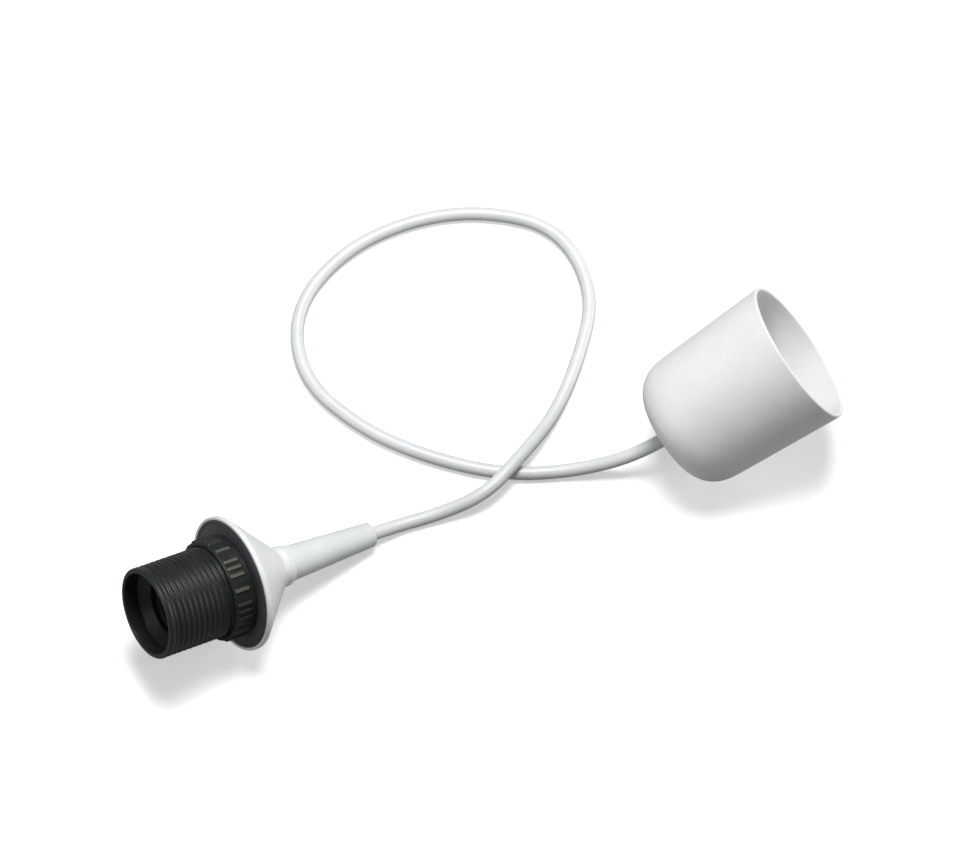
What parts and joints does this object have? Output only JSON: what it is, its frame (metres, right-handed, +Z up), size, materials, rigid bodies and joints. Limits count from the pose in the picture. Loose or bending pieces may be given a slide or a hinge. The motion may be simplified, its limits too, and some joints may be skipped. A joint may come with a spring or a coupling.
{
  "type": "pendant lamp cord set",
  "caption": "Pendant lamp suspension: a ceiling cup, a round cord lying in one loop, and a black screw lamp holder with a white conical dome and tapered boot.",
  "frame": {"origin": "on the surface the set lies on, under the middle of the box round the holder and the cup, without the cord", "axes": "+Z up; +X from the lamp holder towards the ceiling cup; +Y away from the near side, where the cord makes its loop"},
  "size_m": [0.3006, 0.2287, 0.0815],
  "materials": {
    "cup_polypropylene": "satin white injection-moulded polypropylene",
    "dome_polypropylene": "satin white injection-moulded polypropylene",
    "boot_elastomer": "white soft thermoplastic elastomer, fine satin",
    "cord_pvc": "white soft PVC sheath, slight gloss",
    "holder_black_pbt": "black glass-filled PBT, semi-gloss",
    "washer_black_pbt": "black PBT, fine matt",
    "contact_block_ivory": "ivory heat-resistant thermoset",
    "nylon_natural": "natural nylon",
    "brass": "bright pressed brass",
    "zinc_plated_steel": "zinc-plated steel",
    "core_brown_pvc": "brown PVC insulation",
    "core_blue_pvc": "blue PVC insulation",
    "grommet_rubber": "white soft rubber"
  },
  "bodies": {
    "cord_set": {"dome": "dome_polypropylene", "cord_boot": "boot_elastomer", "cord_collet": "nylon_natural", "holder_shell": "holder_black_pbt", "contact_block": "contact_block_ivory", "terminal_live": "brass", "terminal_neutral": "brass", "terminal_screws": "zinc_plated_steel", "cord_tail_holder": "cord_pvc", "cord_tail_cup": "cord_pvc", "cord_sheath": "cord_pvc", "core_brown_holder": "core_brown_pvc", "core_blue_holder": "core_blue_pvc", "core_brown_cup": "core_brown_pvc", "core_blue_cup": "core_blue_pvc", "clamp_jaw_lower": "nylon_natural", "clamp_jaw_upper": "nylon_natural", "clamp_screws": "zinc_plated_steel", "pivot_studs": "zinc_plated_steel", "terminal_strip": "nylon_natural", "terminal_tubes": "brass", "strip_screws": "zinc_plated_steel"},
    "shade_washer": {"shade_washer": "washer_black_pbt"},
    "shade_nut": {"shade_nut": "holder_black_pbt"},
    "centre_contact": {"centre_contact": "brass"},
    "side_contact": {"side_contact": "brass"},
    "ceiling_cup": {"ceiling_cup": "cup_polypropylene", "cup_grommet": "grommet_rubber"},
    "suspension_hook": {"suspension_hook": "zinc_plated_steel"}
  },
  "joints": [
    {"name": "washer_travel", "type": "slide", "parent": "cord_set", "child": "shade_washer", "axis": [-0.8182, -0.4762, 0.3223], "range_m": [0, 0.02751]},
    {"name": "nut_spin", "type": "hinge", "parent": "shade_washer", "child": "shade_nut", "pos_m": [-0.13944, -0.06389, 0.04134], "axis": [-0.8182, -0.4762, 0.3223], "range_deg": [0, 3960]},
    {"name": "cup_slide", "type": "slide", "parent": "cord_set", "child": "ceiling_cup", "axis": [0.7989, 0.3417, 0.495], "range_m": [-0.003, 0.018]},
    {"name": "hook_swing", "type": "hinge", "parent": "cord_set", "child": "suspension_hook", "pos_m": [0.09936, 0.03711, 0.03696], "axis": [0.3933, -0.9194, 0], "range_deg": [0, 76]},
    {"name": "centre_contact_press", "type": "hinge", "parent": "cord_set", "child": "centre_contact", "pos_m": [-0.11415, -0.04917, 0.02398], "axis": [-0.503, 0.8643, 0], "range_deg": [0, 14], "stiffness_Nm_per_rad": 0.06},
    {"name": "side_contact_press", "type": "hinge", "parent": "cord_set", "child": "side_contact", "pos_m": [-0.11839, -0.0374, 0.03061], "axis": [-0.2785, -0.1621, -0.9466], "range_deg": [0, 5], "stiffness_Nm_per_rad": 0.05}
  ],
  "couplings": [
    {"joint": "washer_travel", "follows": "nut_spin", "m_per_rad": 0.00039789}
  ]
}
